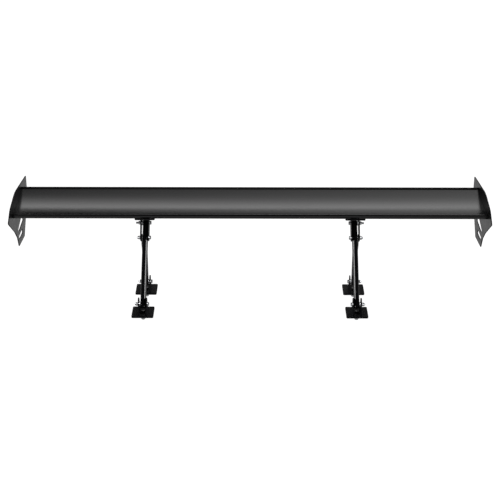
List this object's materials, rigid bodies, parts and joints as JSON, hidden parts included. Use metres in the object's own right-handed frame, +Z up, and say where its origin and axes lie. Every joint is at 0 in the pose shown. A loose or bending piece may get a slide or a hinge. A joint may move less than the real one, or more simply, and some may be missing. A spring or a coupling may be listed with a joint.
{
  "type": "racing rear wing",
  "caption": "Black aluminium single-plane rear wing with slotted end plates on two hinged tubular stands with tilt brackets, swivel feet and deck studs.",
  "frame": {"origin": "centre of the four deck studs, in the plane of the boot lid under the rubber pads", "axes": "+X along the span to the right-hand end plate, +Y to the rear of the car, +Z up"},
  "size_m": [1.3564, 0.4293, 0.2871],
  "materials": {
    "blade_black": "satin black anodised",
    "plate_black": "satin black coated sheet",
    "screw_black": "black oxide",
    "bracket_black": "black powder coat",
    "tube_black": "semi-gloss black powder coat",
    "foot_black": "black powder coat",
    "pad_rubber": "matt",
    "spacer_zinc": "zinc plated",
    "fastener_zinc": "bright zinc plated"
  },
  "bodies": {
    "wing": {"wing_blade": "blade_black", "left_end_plate": "plate_black", "left_end_plate_screws": "screw_black", "left_top_bracket": "bracket_black", "left_bracket_screws": "fastener_zinc", "left_bracket_inserts": "fastener_zinc", "left_top_bolt": "fastener_zinc", "left_top_nut": "fastener_zinc", "left_top_spacer": "spacer_zinc", "right_end_plate": "plate_black", "right_end_plate_screws": "screw_black", "right_top_bracket": "bracket_black", "right_bracket_screws": "fastener_zinc", "right_bracket_inserts": "fastener_zinc", "right_top_bolt": "fastener_zinc", "right_top_nut": "fastener_zinc", "right_top_spacer": "spacer_zinc"},
    "left_front_strut": {"left_front_leg": "tube_black", "left_lock_bolt": "fastener_zinc", "left_lock_nut": "fastener_zinc"},
    "left_rear_strut": {"left_rear_leg": "tube_black"},
    "left_front_swivel_foot": {"left_front_foot": "foot_black", "left_front_pad": "pad_rubber", "left_front_foot_bolt": "fastener_zinc", "left_front_foot_nut": "fastener_zinc", "left_front_spacer": "spacer_zinc", "left_front_deck_bolt": "screw_black", "left_front_deck_nut": "fastener_zinc"},
    "left_rear_swivel_foot": {"left_rear_foot": "foot_black", "left_rear_pad": "pad_rubber", "left_rear_foot_bolt": "fastener_zinc", "left_rear_foot_nut": "fastener_zinc", "left_rear_spacer": "spacer_zinc", "left_rear_deck_bolt": "screw_black", "left_rear_deck_nut": "fastener_zinc"},
    "right_front_strut": {"right_front_leg": "tube_black", "right_lock_bolt": "fastener_zinc", "right_lock_nut": "fastener_zinc"},
    "right_rear_strut": {"right_rear_leg": "tube_black"},
    "right_front_swivel_foot": {"right_front_foot": "foot_black", "right_front_pad": "pad_rubber", "right_front_foot_bolt": "fastener_zinc", "right_front_foot_nut": "fastener_zinc", "right_front_spacer": "spacer_zinc", "right_front_deck_bolt": "screw_black", "right_front_deck_nut": "fastener_zinc"},
    "right_rear_swivel_foot": {"right_rear_foot": "foot_black", "right_rear_pad": "pad_rubber", "right_rear_foot_bolt": "fastener_zinc", "right_rear_foot_nut": "fastener_zinc", "right_rear_spacer": "spacer_zinc", "right_rear_deck_bolt": "screw_black", "right_rear_deck_nut": "fastener_zinc"}
  },
  "joints": [
    {"name": "left_tilt", "type": "hinge", "parent": "wing", "child": "left_front_strut", "pos_m": [-0.299, 0.107, 0.197], "axis": [1, 0, 0], "range_deg": [-6, 6]},
    {"name": "left_rear_leg_pivot", "type": "hinge", "parent": "left_front_strut", "child": "left_rear_strut", "pos_m": [-0.299, 0.07463, 0.16574], "axis": [1, 0, 0], "range_deg": [-7, 30]},
    {"name": "left_front_foot_pivot", "type": "hinge", "parent": "left_front_strut", "child": "left_front_swivel_foot", "pos_m": [-0.299, -0.067, 0.029], "axis": [1, 0, 0], "range_deg": [-30, 30]},
    {"name": "left_rear_foot_pivot", "type": "hinge", "parent": "left_rear_strut", "child": "left_rear_swivel_foot", "pos_m": [-0.299, 0.067, 0.029], "axis": [1, 0, 0], "range_deg": [-30, 30]},
    {"name": "right_tilt", "type": "hinge", "parent": "wing", "child": "right_front_strut", "pos_m": [0.299, 0.107, 0.197], "axis": [1, 0, 0], "range_deg": [-6, 6]},
    {"name": "right_rear_leg_pivot", "type": "hinge", "parent": "right_front_strut", "child": "right_rear_strut", "pos_m": [0.299, 0.07463, 0.16574], "axis": [1, 0, 0], "range_deg": [-7, 30]},
    {"name": "right_front_foot_pivot", "type": "hinge", "parent": "right_front_strut", "child": "right_front_swivel_foot", "pos_m": [0.299, -0.067, 0.029], "axis": [1, 0, 0], "range_deg": [-30, 30]},
    {"name": "right_rear_foot_pivot", "type": "hinge", "parent": "right_rear_strut", "child": "right_rear_swivel_foot", "pos_m": [0.299, 0.067, 0.029], "axis": [1, 0, 0], "range_deg": [-30, 30]}
  ]
}
